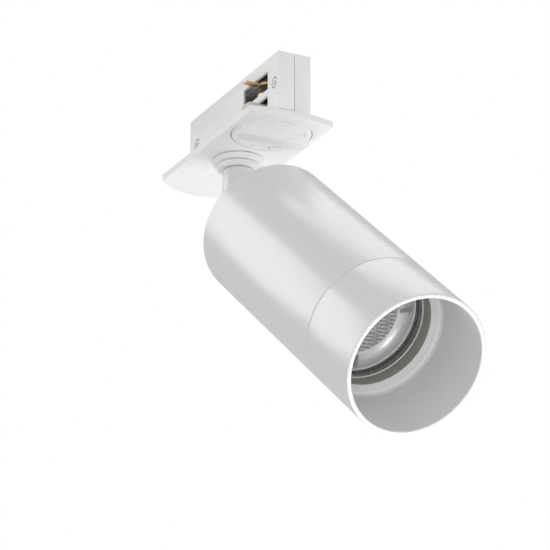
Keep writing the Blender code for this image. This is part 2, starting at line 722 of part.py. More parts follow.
def back_cap(parent):
    inner = HEAD_RADIUS - TUBE_WALL
    outer = inner - GAP
    inside = CAP_FACE + CAP_THICK
    outline = [
        (TUBE_RADIUS + GAP, CAP_FACE),
        (outer - 0.4 * MM, CAP_FACE),
        (outer, CAP_FACE + 0.4 * MM),
        (outer, CAP_SKIRT_END),
        (outer - 1.4 * MM, CAP_SKIRT_END),
        (outer - 1.4 * MM, inside),
        (TUBE_RADIUS + GAP, inside),
    ]
    obj = add("back_cap", turned(outline, FINE), parent, "white_paint")
    boolean(obj, "DIFFERENCE", cutters("cap_hole", screw_holes(), parent))
    for i, way in enumerate((1, -1)):
        place = (way * SCREW_CIRCLE, 0, CAP_FACE - GAP - 1.2 * MM)
        screw(f"cap_screw_{i + 1}", 2.6 * MM, CAP_SCREW, 1.2 * MM, 6.6 * MM, "Z", place, parent)
    nut = prism(hexagon(6.5 * MM), inside + GAP, inside + 4.0 * MM)
    obj = add("neck_nut", nut, parent, "zinc_steel", smooth=False)
    hole = ring(TUBE_RADIUS + GAP, 0, 20 * MM, 40 * MM, MEDIUM)
    boolean(obj, "DIFFERENCE", [cutter("neck_nut_hole", hole, parent)])


def bracket(parent):
    """A bent strip from the back cap to the lampholder: two feet, two legs and a bridge."""
    foot = CAP_FACE + CAP_THICK + GAP + BRACKET_THICK / 2
    bridge = BRIDGE_TOP - BRACKET_THICK / 2
    bend = 0.6 * MM
    half_route = [
        (SCREW_CIRCLE + 4 * MM, foot),
        (BRACKET_LEG + bend, foot),
        (BRACKET_LEG, foot + bend),
        (BRACKET_LEG, bridge - bend),
        (BRACKET_LEG - bend, bridge),
    ]
    route = [(-x, z) for x, z in half_route] + half_route[::-1]
    bent = upright(strip(route, BRACKET_THICK, 10 * MM))
    obj = add("holder_bracket", bent, parent, "zinc_steel", smooth=False)
    bridge_holes = [
        ring(HOLDER_SCREW + GAP, 0, 44 * MM, 60 * MM, COARSE, centre=(way * HOLDER_SCREW_X, 0, 0))
        for way in (1, -1)
    ]
    boolean(obj, "DIFFERENCE", cutters("bracket_hole", [*screw_holes(), *bridge_holes], parent))


def lampholder(parent):
    """The ceramic holder, with two bayonet slots: a narrow lip over a wide pocket."""
    low = BRIDGE_TOP + GAP
    body = ring(HOLDER_RADIUS, 0, low, HOLDER_FRONT, FINE, 0.6 * MM)
    obj = add("lampholder", body, parent, "ceramic")
    cuts = []
    pocket_floor, lip = 55.0 * MM, 60.4 * MM
    for middle in (math.pi / 2, 1.5 * math.pi):
        start, end = middle - LAMP_TWIST, middle
        wide = arc_slot(PIN_CIRCLE, LAMP_PIN_HEAD + 0.4 * MM, start - 0.06, end + 0.06)
        narrow = arc_slot(PIN_CIRCLE, LAMP_PIN + 0.4 * MM, start, end + 0.06)
        cuts.append(prism(wide, pocket_floor, lip))
        cuts.append(prism(narrow, lip - 1 * MM, HOLDER_FRONT + 1 * MM))
        x, y = polar(PIN_CIRCLE, start)
        entry = LAMP_PIN_HEAD + 0.4 * MM
        cuts.append(ring(entry, 0, lip - 2 * MM, HOLDER_FRONT + 2 * MM, COARSE, centre=(x, y, 0)))
    for way in (1, -1):
        hole, head = HOLDER_SCREW + GAP, 2.6 * MM
        low, seat, high = 40 * MM, 58 * MM, 70 * MM
        stepped = [(0, low), (hole, low), (hole, seat), (head, seat), (head, high), (0, high)]
        cuts.append(turned(stepped, COARSE, centre=(way * HOLDER_SCREW_X, 0, 0)))
    boolean(obj, "DIFFERENCE", cutters("holder_cut", cuts, parent))
    for i, way in enumerate((1, -1)):
        outline = [
            (0, 45.6 * MM),
            (HOLDER_SCREW, 45.6 * MM),
            (HOLDER_SCREW, 58.3 * MM),
            (2.2 * MM, 58.3 * MM),
            (2.2 * MM, 59.6 * MM),
            (1.7 * MM, 60.0 * MM),
            (0, 60.0 * MM),
        ]
        place = (way * HOLDER_SCREW_X, 0, 0)
        add(f"holder_screw_{i + 1}", turned(outline, COARSE, "Z", place), parent, "zinc_steel")


def head_wiring(parent):
    low, high = 38.4 * MM, 45.4 * MM
    body = block((13 * MM, 20 * MM, high - low), (0, 0, (low + high) / 2), 0.6 * MM)
    terminal = add("terminal_block", body, parent, "natural_plastic", smooth=False)
    wells = [
        ring(1.6 * MM, 0, -20 * MM, 0, COARSE, axis="X", centre=(-3.0 * MM, way * 4.6 * MM, 42 * MM))
        for way in (1, -1)
    ]
    boolean(terminal, "DIFFERENCE", cutters("terminal_well", wells, parent))
    for name, look, way in (("live", "lead_brown", 1), ("neutral", "lead_blue", -1)):
        loop = [(8.0, 47.7), (9.4, 46.7), (11.4, 45.6), (12.4, 43.8), (11.9, 42.2), (10.4, 41.7)]
        wire(f"lamp_lead_{name}", [(0, way * y * MM, z * MM) for y, z in loop], 0.7 * MM, parent, look)
        run = [(0, way * 0.9 * MM, z * MM) for z in (10.6, 20.0, 30.0, 38.0)]
        wire(f"neck_lead_{name}", run, LEAD_RADIUS, parent, look)


def head_tube(parent):
    inner = HEAD_RADIUS - TUBE_WALL
    soft = 0.4 * MM
    outline = [
        (inner, BACK),
        (HEAD_RADIUS - soft, BACK),
        (HEAD_RADIUS, BACK + soft),
        (HEAD_RADIUS, SEAM - 0.2 * MM),
        (HEAD_RADIUS - 0.2 * MM, SEAM),
        (inner, SEAM),
    ]
    add("head_tube", turned(outline, FINE), parent, "white_paint")


# ---------------------------------------------------------------- lamp


def lamp(parent):
    """A GU10 lamp: cap and pins, tapered shell, board, bowl, textured optic and rim."""
    cap_low = HOLDER_FRONT + GAP
    cap = ring(LAMP_CAP_RADIUS, 0, cap_low, LAMP_CAP_END, FINE, 0.4 * MM)
    add("lamp_cap", cap, parent, "ceramic")
    mouth = LAMP_RADIUS - LAMP_SHELL_WALL
    throat = LAMP_CAP_RADIUS + GAP
    shell = [
        (12.0 * MM, 70.4 * MM),
        (15.6 * MM, 77.0 * MM),
        (24.0 * MM, 100.0 * MM),
        (LAMP_RADIUS, 104.4 * MM),
        (LAMP_RADIUS, LAMP_SHELL_END),
        (mouth, LAMP_SHELL_END),
        (mouth, 104.4 * MM),
        (22.2 * MM, 99.6 * MM),
        (14.0 * MM, 77.6 * MM),
        (throat, LAMP_CAP_END + 0.6 * MM),
        (throat, 70.4 * MM),
    ]
    add("lamp_shell_body", turned(shell, FINE), parent, "lamp_shell")
    for name, way in (("live", 1), ("neutral", -1)):
        outline = [
            (0, LAMP_PIN_START),
            (LAMP_PIN_HEAD - 0.3 * MM, LAMP_PIN_START),
            (LAMP_PIN_HEAD, LAMP_PIN_START + 0.3 * MM),
            (LAMP_PIN_HEAD, 59.2 * MM),
            (LAMP_PIN, 60.0 * MM),
            (LAMP_PIN, cap_low - GAP / 2),
            (0, cap_low - GAP / 2),
        ]
        pin = turned(outline, COARSE, "Z", (0, way * PIN_CIRCLE, 0))
        add(f"lamp_pin_{name}", pin, parent, "copper_alloy")
    board = ring(BOARD_RADIUS, 0, BOARD_FACE - 1.4 * MM, BOARD_FACE, MEDIUM)
    add("lamp_board", board, parent, "circuit_board")
    top = LAMP_FRONT - 1.4 * MM
    flange, flange_back = mouth - 0.4 * MM, top - 1.0 * MM
    bowl = [
        (LENS_RADIUS + 0.4 * MM, top - 4.4 * MM),
        (LENS_RADIUS + 1.6 * MM, top - 5.2 * MM),
        (BOWL_RADIUS + 0.8 * MM, flange_back),
        (flange, flange_back),
        (flange, top),
        (BOWL_RADIUS, top),
    ]
    add("lamp_bowl", turned(bowl, FINE), parent, "lamp_bowl")
    optic = [
        (0, top - 9.0 * MM),
        (LENS_RADIUS * 0.55, top - 9.0 * MM),
        (LENS_RADIUS, top - 4.0 * MM),
        (LENS_RADIUS, top + 0.4 * MM),
        (LENS_RADIUS * 0.6, top + 0.8 * MM),
        (0, top + 0.9 * MM),
    ]
    add("lamp_optic", turned(optic, FINE), parent, "lamp_optic")
    rim = ring(24.9 * MM, BOWL_RADIUS, LAMP_FRONT - 1.1 * MM, LAMP_FRONT, FINE, 0.3 * MM)
    add("lamp_rim", rim, parent, "lamp_rim")


# ---------------------------------------------------------------- front ring


def front_ring(parent):
    inner = HEAD_RADIUS - RING_WALL
    low = SEAM + GAP
    soft = 0.3 * MM
    outline = [
        (inner, low),
        (HEAD_RADIUS - 0.2 * MM, low),
        (HEAD_RADIUS, low + 0.2 * MM),
        (HEAD_RADIUS, FRONT - soft),
        (HEAD_RADIUS - soft, FRONT),
        (inner + soft, FRONT),
        (inner, FRONT - soft),
    ]
    add("front_ring", turned(outline, FINE), parent, "white_paint")
    outer = inner - GAP
    skirt = outer - 1.0 * MM
    collar = LEDGE_INNER + 0.9 * MM
    under = LEDGE_EDGE - 1.4 * MM
    sleeve = [
        (LEDGE_INNER, SLEEVE_END),
        (collar, SLEEVE_END),
        (collar, under),
        (skirt, under),
        (skirt, SLEEVE_END),
        (outer, SLEEVE_END),
        (outer, LEDGE_FACE),
        (LEDGE_INNER, LEDGE_EDGE),
    ]
    add("baffle_sleeve", turned(sleeve, FINE), parent, "collar_paint")


# ---------------------------------------------------------------- assembly


def clear_scene():
    for obj in list(bpy.data.objects):
        bpy.data.objects.remove(obj, do_unlink=True)


def build():
    clear_scene()
    adapter()
    rail_lock()
    pan = swivel()
    tilt = frame("tilt_axis", pan, (0, 0, -PIVOT_DROP), (0, math.pi - REST_TILT, 0))
    neck(tilt)
    back_cap(tilt)
    bracket(tilt)
    lampholder(tilt)
    head_wiring(tilt)
    head_tube(tilt)
    lamp(frame("lamp_axis", tilt))
    front_ring(frame("ring_axis", tilt))


build()
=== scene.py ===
import json
import math

import bmesh
import bpy
from mathutils import Matrix, Vector


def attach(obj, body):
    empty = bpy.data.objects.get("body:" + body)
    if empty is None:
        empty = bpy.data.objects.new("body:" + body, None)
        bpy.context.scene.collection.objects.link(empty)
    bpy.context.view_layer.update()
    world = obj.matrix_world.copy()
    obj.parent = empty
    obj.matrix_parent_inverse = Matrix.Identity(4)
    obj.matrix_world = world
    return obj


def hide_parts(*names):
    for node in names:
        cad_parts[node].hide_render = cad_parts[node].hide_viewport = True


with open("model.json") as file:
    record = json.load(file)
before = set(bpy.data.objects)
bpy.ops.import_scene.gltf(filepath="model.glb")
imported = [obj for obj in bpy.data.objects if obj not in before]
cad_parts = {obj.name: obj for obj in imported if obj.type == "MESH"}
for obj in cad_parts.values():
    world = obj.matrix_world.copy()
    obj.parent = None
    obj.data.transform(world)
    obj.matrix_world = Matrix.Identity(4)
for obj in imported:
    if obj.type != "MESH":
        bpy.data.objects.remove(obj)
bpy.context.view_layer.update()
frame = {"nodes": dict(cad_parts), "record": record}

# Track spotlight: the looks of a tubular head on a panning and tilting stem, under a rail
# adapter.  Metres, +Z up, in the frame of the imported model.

MM = 0.001
GAP = 0.3 * MM

# Rest pose
REST_PAN = math.radians(7.0)
REST_TILT = math.radians(49.1)
PIVOT_DROP = 20.7 * MM

# Adapter plate and body
PLATE_HALF = 17.8 * MM
PLATE_THICK = 2.5 * MM
PLATE_SOFT_APEX = -41.0 * MM
PLATE_SOFT_RADIUS = 23.0 * MM
PLATE_FLAT_APEX = 48.3 * MM
PLATE_FLAT_RADIUS = 60.0 * MM
BODY_START = -30.0 * MM
BODY_END = 48.0 * MM
BODY_HALF = 6.9 * MM
BODY_TOP = 24.0 * MM
WALL = 1.1 * MM
FLOOR_TOP = 1.2 * MM
SHELL_FOOT = -0.1 * MM
SHELL_SCREWS = ((-24.0 * MM, 12.0 * MM), (12.4 * MM, 6.2 * MM), (44.4 * MM, 12.0 * MM))
SCREW_RADIUS = 1.1 * MM
SCREW_HEAD = 2.1 * MM

# Rail lock
KNOB_X = 28.6 * MM
KNOB_RADIUS = 15.5 * MM
KNOB_THICK = 1.7 * MM
KNOB_RECESS = 2.0 * MM
KNOB_BAR_HALF = 3.4 * MM
KNOB_BAR_PROUD = 2.9 * MM
KNOB_HUB = 3.9 * MM
SHAFT_RADIUS = 2.0 * MM
CAM_WING_BOTTOM = 4.9 * MM
CAM_TOP = 8.3 * MM
LIVE_LEVEL = 13.0 * MM
NEUTRAL_LEVEL = 17.4 * MM
SWEEP_RADIUS = 12.4 * MM

# Swivel
TUBE_RADIUS = 4.0 * MM
WIRE_BORE = 2.4 * MM
STEM_TUBE_TOP = 8.6 * MM
BEZEL_RADIUS = 10.1 * MM
BEZEL_END = -4.8 * MM
DISC_RADIUS = 8.5 * MM
DISC_END = -7.0 * MM
STEM_RADIUS = 6.3 * MM
FORK_SLOT_HALF = 2.9 * MM
FORK_SLOT_TOP = 7.2 * MM
PIN_RADIUS = 1.7 * MM
PIN_HEAD = 3.0 * MM
PIN_SEAT = 4.2 * MM

# Head and lamp, measured from the tilt axis along the beam
HEAD_RADIUS = 27.5 * MM
TUBE_WALL = 1.6 * MM
BACK = 28.0 * MM
FRONT = 151.6 * MM
SEAM = 119.2 * MM
RING_WALL = 1.8 * MM
NECK_SHOULDER = 7.4 * MM
NECK_TUBE_END = 36.8 * MM
CAP_FACE = 29.2 * MM
CAP_THICK = 2.2 * MM
CAP_SKIRT_END = 39.0 * MM
SCREW_CIRCLE = 17.0 * MM
CAP_SCREW = 1.4 * MM
LAMP_FRONT = 109.8 * MM
LENS_RADIUS = 14.3 * MM
BOWL_RADIUS = 20.9 * MM
RIM_RADIUS = 24.9 * MM
SLEEVE_END = 111.0 * MM
LEDGE_FACE = 121.0 * MM
LEDGE_EDGE = 118.8 * MM
LEDGE_INNER = 22.4 * MM

ROUND = 144  # sides of the large round pieces
SMALL_ROUND = 72
SMOOTH_ANGLE = math.radians(32)

# Camera and studio
CAMERA_TARGET = Vector((-0.0082, 0.0203, -0.0445))
CAMERA_AZIMUTH = math.radians(62.96)
CAMERA_ELEVATION = math.radians(-20.45)
CAMERA_DISTANCE = 1.169
CAMERA_LENS = 194.07  # millimetres, on a 36 mm wide sensor
FLOOR_LEVEL = -1.3

ROW = Matrix.Identity(4)
LOCK = Matrix.Translation((KNOB_X, 0, 0))
PAN = Matrix.Rotation(REST_PAN, 4, "Z")
TILT = (
    PAN
    @ Matrix.Translation((0, 0, -PIVOT_DROP))
    @ Matrix.Rotation(math.pi - REST_TILT, 4, "Y")
)


# ---------------------------------------------------------------- materials


def node(tree, kind, **settings):
    """A shader node, with its properties and the values of its inputs set by name."""
    made = tree.nodes.new(kind)
    for key, value in settings.items():
        if hasattr(made, key):
            setattr(made, key, value)
        else:
            made.inputs[key.replace("_", " ")].default_value = value
    return made


def noise_on(tree, coords, scale, detail=3.0, stretch=(1, 1, 1)):
    """A noise's value, between 0 and 1, in the object's own coordinates."""
    mapping = node(tree, "ShaderNodeMapping", Scale=stretch)
    texture = node(tree, "ShaderNodeTexNoise", Scale=scale, Detail=detail)
    tree.links.new(coords.outputs["Object"], mapping.inputs["Vector"])
    tree.links.new(mapping.outputs["Vector"], texture.inputs["Vector"])
    return texture.outputs["Fac"]


def ranged(tree, value, low, high):
    made = node(tree, "ShaderNodeMapRange", From_Min=0.3, From_Max=0.7, To_Min=low, To_Max=high)
    tree.links.new(value, made.inputs["Value"])
    return made.outputs["Result"]


def surface(
    name, colour, roughness, metallic=0.0, mottle=0.02, rough_play=0.05,
    grain=900.0, relief=0.012 * MM, stretch=(1, 1, 1),
):
    """A finish with faint patches of colour, an uneven sheen and a fine relief."""
    material = bpy.data.materials.new(name)
    material.use_nodes = True
    tree = material.node_tree
    shader = tree.nodes["Principled BSDF"]
    shader.inputs["Metallic"].default_value = metallic
    coords = node(tree, "ShaderNodeTexCoord")
    patches = noise_on(tree, coords, 70.0)
    mix = node(tree, "ShaderNodeMix", data_type="RGBA")
    colours = [socket for socket in mix.inputs if socket.type == "RGBA"]
    colours[0].default_value = (*[c * (1 - mottle) for c in colour], 1)
    colours[1].default_value = (*[min(c * (1 + mottle), 1) for c in colour], 1)
    tree.links.new(ranged(tree, patches, 0, 1), mix.inputs["Factor"])
    result = [socket for socket in mix.outputs if socket.type == "RGBA"][0]
    tree.links.new(result, shader.inputs["Base Color"])
    sheen = noise_on(tree, coords, 260.0, 2.0, stretch)
    spread = ranged(tree, sheen, roughness - rough_play, roughness + rough_play)
    tree.links.new(spread, shader.inputs["Roughness"])
    bump = node(tree, "ShaderNodeBump", Strength=1.0, Distance=relief)
    tree.links.new(noise_on(tree, coords, grain, 2.0, stretch), bump.inputs["Height"])
    tree.links.new(bump.outputs["Normal"], shader.inputs["Normal"])
    return material


def make_looks():
    """Every finish of the object, by name."""
    return {
        "white_paint": surface(
            "white_paint", (0.84, 0.84, 0.845), 0.26, 0.25,
            mottle=0.005, rough_play=0.015, relief=0.002 * MM,
        ),
        # Inside of the front ring: the white paint drawn a little greyer than outside, partly the
        # paint and partly painted shade inside the ring.
        "snoot_paint": surface(
            "snoot_paint", (0.795, 0.80, 0.805), 0.5, mottle=0.008, relief=0.004 * MM
        ),
        "ledge_paint": surface("ledge_paint", (0.92, 0.93, 0.92), 0.45, mottle=0.01),
        "collar_paint": surface("collar_paint", (0.30, 0.305, 0.275), 0.4, mottle=0.06),
        "rib_paint": surface("rib_paint", (0.32, 0.325, 0.32), 0.25, 0.4, mottle=0.06),
        "white_plastic": surface(
            "white_plastic", (0.97, 0.97, 0.972), 0.45, grain=1500.0, relief=0.008 * MM
        ),
        "black_plastic": surface("black_plastic", (0.03, 0.03, 0.032), 0.45, grain=1500.0),
        "natural_plastic": surface("natural_plastic", (0.72, 0.69, 0.62), 0.5, mottle=0.04),
        "ceramic": surface("ceramic", (0.82, 0.8, 0.76), 0.55, mottle=0.05, grain=1800.0),
        "zinc_steel": surface(
            "zinc_steel", (0.62, 0.63, 0.65), 0.32, 1.0, mottle=0.08, stretch=(1, 1, 6)
        ),
        "copper_alloy": surface(
            "copper_alloy", (0.78, 0.55, 0.3), 0.28, 1.0, mottle=0.1, stretch=(1, 6, 1)
        ),
        "lead_brown": surface("lead_brown", (0.2, 0.09, 0.05), 0.5),
        "lead_blue": surface("lead_blue", (0.05, 0.13, 0.42), 0.5),
        "lamp_shell": surface("lamp_shell", (0.8, 0.8, 0.8), 0.4),
        "lamp_bowl": surface(
            "lamp_bowl", (0.93, 0.945, 0.92), 0.3, 0.35, mottle=0.01, relief=0.001 * MM
        ),
        "lamp_spoke": surface("lamp_spoke", (0.42, 0.43, 0.44), 0.4),
        "lamp_optic": optic_with_painted_glints(),
        "lip_paint": surface("lip_paint", (0.78, 0.76, 0.70), 0.35),
        "lamp_rim": surface("lamp_rim", (0.95, 0.95, 0.95), 0.25, relief=0.002 * MM),
        "circuit_board": surface("circuit_board", (0.8, 0.8, 0.74), 0.4),
    }


def optic_with_painted_glints():
    """Clear moulded plastic over the light source, drawn grey: painted highlight in each cell's
    middle, painted shade at its border.
    """
    material = surface("lamp_optic", (0.5, 0.51, 0.5), 0.14, rough_play=0.04, relief=0.002 * MM)
    tree = material.node_tree
    shader = tree.nodes["Principled BSDF"]
    coords = node(tree, "ShaderNodeTexCoord")
    # Painted highlight at the middle of each cell, painted shade towards its border.
    lenslet_glints = node(tree, "ShaderNodeTexVoronoi", Scale=950.0, Randomness=0.15)
    glint_and_shade_ramp = node(tree, "ShaderNodeValToRGB")
    glint_and_shade_ramp.color_ramp.elements[0].position = 0.25
    glint_and_shade_ramp.color_ramp.elements[0].color = (0.84, 0.85, 0.84, 1)
    glint_and_shade_ramp.color_ramp.elements[1].position = 0.62
    glint_and_shade_ramp.color_ramp.elements[1].color = (0.34, 0.35, 0.34, 1)
    tree.links.new(coords.outputs["Object"], lenslet_glints.inputs["Vector"])
    tree.links.new(lenslet_glints.outputs["Distance"], glint_and_shade_ramp.inputs["Fac"])
    tree.links.new(glint_and_shade_ramp.outputs["Color"], shader.inputs["Base Color"])
    return material


# ---------------------------------------------------------------- shape tools


def rounded(points, steps=4):
    """A closed outline.  A point is (x, y), or (x, y, radius) for a corner rounded by an arc."""
    outline = []
    for i, point in enumerate(points):
        corner = Vector(point[:2])
        if len(point) < 3:
            outline.append(tuple(corner))
            continue
        before = (Vector(points[i - 1][:2]) - corner).normalized()
        after = (Vector(points[(i + 1) % len(points)][:2]) - corner).normalized()
        half = before.angle(after) / 2
        centre = corner + (before + after).normalized() * point[2] / math.sin(half)
        start = corner + before * point[2] / math.tan(half) - centre
        end = corner + after * point[2] / math.tan(half) - centre
        for j in range(steps + 1):
            outline.append(tuple(centre + point[2] * start.slerp(end, j / steps)))
    return outline


def turned(outline, sides=ROUND, axis="Z", centre=(0, 0, 0)):
    """A solid of revolution.  The outline is a closed loop of (radius, height) points."""
    bm = bmesh.new()
    points = [bm.verts.new((r, 0, z)) for r, z in outline]
    edges = [bm.edges.new((a, b)) for a, b in zip(points, points[1:] + points[:1])]
    edges = [e for e in edges if max(abs(v.co.x) for v in e.verts) > 0]
    bmesh.ops.spin(
        bm, geom=edges, cent=(0, 0, 0), axis=(0, 0, 1), angle=math.tau, steps=sides, use_merge=True
    )
    bmesh.ops.remove_doubles(bm, verts=bm.verts, dist=1e-6)
    loose = [v for v in bm.verts if not v.link_faces]
    bmesh.ops.delete(bm, geom=loose, context="VERTS")
    loose = [e for e in bm.edges if not e.link_faces]
    bmesh.ops.delete(bm, geom=loose, context="EDGES")
    return placed(bm, axis, centre)


def placed(bm, axis="Z", centre=(0, 0, 0)):
    """Turns a shape made along +Z to the given axis, and moves it."""
    target = {"X": Vector((1, 0, 0)), "Y": Vector((0, 1, 0)), "Z": Vector((0, 0, 1))}[axis]
    turn = Vector((0, 0, 1)).rotation_difference(target).to_matrix()
    bmesh.ops.rotate(bm, cent=(0, 0, 0), matrix=turn, verts=bm.verts)
    bmesh.ops.translate(bm, vec=centre, verts=bm.verts)
    return bm


def ring(outer, inner, low, high, fillet=0.0, sides=ROUND, axis="Z", centre=(0, 0, 0)):
    """A tube, or a disc where inner is 0, with its outer edges rounded."""
    outline = [(inner, low), (outer, low), (outer, high), (inner, high)]
    if fillet:
        outline[1:3] = [(outer, low, fillet), (outer, high, fillet)]
        outline = rounded(outline)
    return turned(outline, sides, axis, centre)


def prism(outline, low, high, axis="Z", centre=(0, 0, 0)):
    """An outline of (x, y) points extruded along its normal."""
    bm = bmesh.new()
    face = bm.faces.new([bm.verts.new((x, y, low)) for x, y in outline])
    lifted = bmesh.ops.extrude_face_region(bm, geom=[face])
    moved = [v for v in lifted["geom"] if isinstance(v, bmesh.types.BMVert)]
    bmesh.ops.translate(bm, vec=(0, 0, high - low), verts=moved)
    return placed(bm, axis, centre)


def block(size, centre):
    bm = bmesh.new()
    bmesh.ops.create_cube(bm, size=1.0)
    bmesh.ops.scale(bm, vec=size, verts=bm.verts)
    bmesh.ops.translate(bm, vec=centre, verts=bm.verts)
    return bm


def upright(bm):
    """Stands a shape made in the XY plane up in the XZ plane."""
    turn = Vector((0, 1, 0)).rotation_difference(Vector((0, 0, 1))).to_matrix()
    bmesh.ops.rotate(bm, cent=(0, 0, 0), matrix=turn, verts=bm.verts)
    return bm


def arc(radius, start, end, steps, centre=(0.0, 0.0)):
    """Points along an arc, both ends included."""
    turns = [start + (end - start) * i / steps for i in range(steps + 1)]
    return [(centre[0] + radius * math.cos(t), centre[1] + radius * math.sin(t)) for t in turns]


def loose_object(name, bm, place):
    """An object from a bmesh made in the frame that place puts in the world."""
    bmesh.ops.recalc_face_normals(bm, faces=bm.faces)
    if bm.calc_volume(signed=True) < 0:
        bmesh.ops.reverse_faces(bm, faces=bm.faces)
    mesh = bpy.data.meshes.new(name)
    bm.to_mesh(mesh)
    bm.free()
    obj = bpy.data.objects.new(name, mesh)
    bpy.context.scene.collection.objects.link(obj)
    obj.matrix_world = place
    return obj


def shaped(obj, steps, edge=0.0, segments=2):
    """Applies each step's (operation, bmesh) as a Boolean, then rounds the edges."""
    tools = []
    for operation, bm in steps:
        tool = loose_object(f"{obj.name}_tool", bm, obj.matrix_world)
        cut = obj.modifiers.new(operation, "BOOLEAN")
        cut.operation = operation
        cut.solver = "EXACT"
        cut.object = tool
        tools.append(tool)
    if edge:
        round_edges(obj, edge, segments)
    bpy.context.view_layer.update()
    whole = obj.evaluated_get(bpy.context.evaluated_depsgraph_get())
    mesh = bpy.data.meshes.new_from_object(whole)
    obj.modifiers.clear()
    obj.data = mesh
    mesh.name = obj.name
    for tool in tools:
        bpy.data.objects.remove(tool, do_unlink=True)
    return obj


def round_edges(obj, width, segments=2):
    bevel = obj.modifiers.new("edges", "BEVEL")
    bevel.width = width
    bevel.segments = segments
    bevel.limit_method = "ANGLE"
    bevel.angle_limit = math.radians(40)
    bevel.use_clamp_overlap = True


def finished(obj, body, replaced, look, pick=None):
    """Shades a piece, gives it its looks, and lets it ride on its body for its CAD nodes."""
    mesh = obj.data
    mesh.shade_smooth()
    mesh.set_sharp_from_angle(angle=SMOOTH_ANGLE)
    names = [look] if isinstance(look, str) else look
    mesh.materials.clear()
    for name in names:
        mesh.materials.append(LOOKS[name])
    for face in mesh.polygons:
        face.material_index = pick(face) if pick else 0
    mesh.transform(obj.matrix_world)
    obj.matrix_world = Matrix.Identity(4)
    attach(obj, body)
    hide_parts(*replaced)
    return obj


# ---------------------------------------------------------------- adapter


def plate_outline():
    outline = []
    for apex, radius, middle in (
        (PLATE_FLAT_APEX, PLATE_FLAT_RADIUS, 0.0),
        (PLATE_SOFT_APEX, -PLATE_SOFT_RADIUS, math.pi),
    ):
        turn = math.asin(PLATE_HALF / abs(radius))
        outline += arc(abs(radius), middle - turn, middle + turn, 40, (apex - radius, 0))
    return outline


def adapter_shell(name, side):
    """Half of the narrow hollow body that enters the rail; the far half carries the plate too."""
    length = BODY_END - BODY_START
    centre_x = (BODY_END + BODY_START) / 2
    low = -PLATE_THICK / 2 if side > 0 else SHELL_FOOT + GAP
    body = block((length, 2 * BODY_HALF, BODY_TOP - low), (centre_x, 0, (BODY_TOP + low) / 2))
    hollow = block(
        (length - 2 * WALL, 2 * (BODY_HALF - WALL), BODY_TOP - WALL - FLOOR_TOP),
        (centre_x, 0, (BODY_TOP - WALL + FLOOR_TOP) / 2),
    )
    steps = [("DIFFERENCE", hollow)]
    if side > 0:
        start = prism(plate_outline(), -PLATE_THICK, 0)
        steps.insert(0, ("UNION", body))
        seat = BODY_HALF + 1.5 * GAP
        other_half = block(
            (length + 2 * GAP, seat, 0.1), (centre_x, (GAP - seat) / 2, SHELL_FOOT + 0.05)
        )
    else:
        start = body
        other_half = block((0.2, 0.1, 0.1), (0, 0.05 - GAP / 2, 0))
    for x, z in SHELL_SCREWS:
        half = BODY_HALF - 0.5 * MM
        boss = ring(SCREW_HEAD + 1.1 * MM, 0, -half, half, 0, SMALL_ROUND, "Y", (x, 0, z))
        steps.append(("UNION", boss))
    steps += [("DIFFERENCE", room) for room in shell_rooms()]
    steps.append(("DIFFERENCE", other_half))
    obj = loose_object(name + "_moulding", start, ROW)
    shaped(obj, steps, 0.22 * MM, 3)
    finished(obj, "adapter", [name], "white_plastic")


def shell_rooms():
    """What is cut out of the shells: the knob's recess, the bores, the sweeps and the screws."""
    knob = (KNOB_X, 0, 0)
    recess = KNOB_RADIUS + 0.4 * MM
    hub = KNOB_HUB + GAP
    over = FLOOR_TOP + 0.4 * MM
    under = -PLATE_THICK - 1 * MM
    seat = KNOB_RECESS - PLATE_THICK
    stepped = [(0, under), (recess, under), (recess, seat), (hub, seat), (hub, over), (0, over)]
    yield turned(stepped, ROUND, centre=knob)
    yield ring(TUBE_RADIUS + GAP, 0, under, over, 0, SMALL_ROUND)
    for low, high in (
        (CAM_WING_BOTTOM - 0.5 * MM, CAM_TOP + 0.5 * MM),
        (LIVE_LEVEL - 1.6 * MM, NEUTRAL_LEVEL + 1.6 * MM),
    ):
        yield ring(SWEEP_RADIUS, 0, low, high, 0, SMALL_ROUND, centre=knob)
    hole = SCREW_RADIUS + GAP
    head = SCREW_HEAD + GAP
    outline = [
        (0, -2 * BODY_HALF),
        (head, -2 * BODY_HALF),
        (head, 1.7 * MM - BODY_HALF),
        (hole, 1.7 * MM - BODY_HALF),
        (hole, BODY_HALF - 1.0 * MM),
        (0, BODY_HALF - 1.0 * MM),
    ]
    for x, z in SHELL_SCREWS:
        yield turned(outline, SMALL_ROUND, "Y", (x, 0, z))


def swivel_washer(radius, low, high):
    """A flat disc round the threaded tube, with a soft lower edge."""
    bore = TUBE_RADIUS + GAP
    outline = [(bore, low), (radius, low, 0.5 * MM), (radius, high, 0.1 * MM), (bore, high)]
    return turned(rounded(outline))


def adapter():
    adapter_shell("adapter_shell_far", 1)
    adapter_shell("adapter_shell_near", -1)
    high, low = -PLATE_THICK - GAP, BEZEL_END
    bezel = loose_object("swivel_bezel_turned", swivel_washer(BEZEL_RADIUS, low, high), ROW)
    finished(bezel, "adapter", ["swivel_bezel"], "white_plastic")


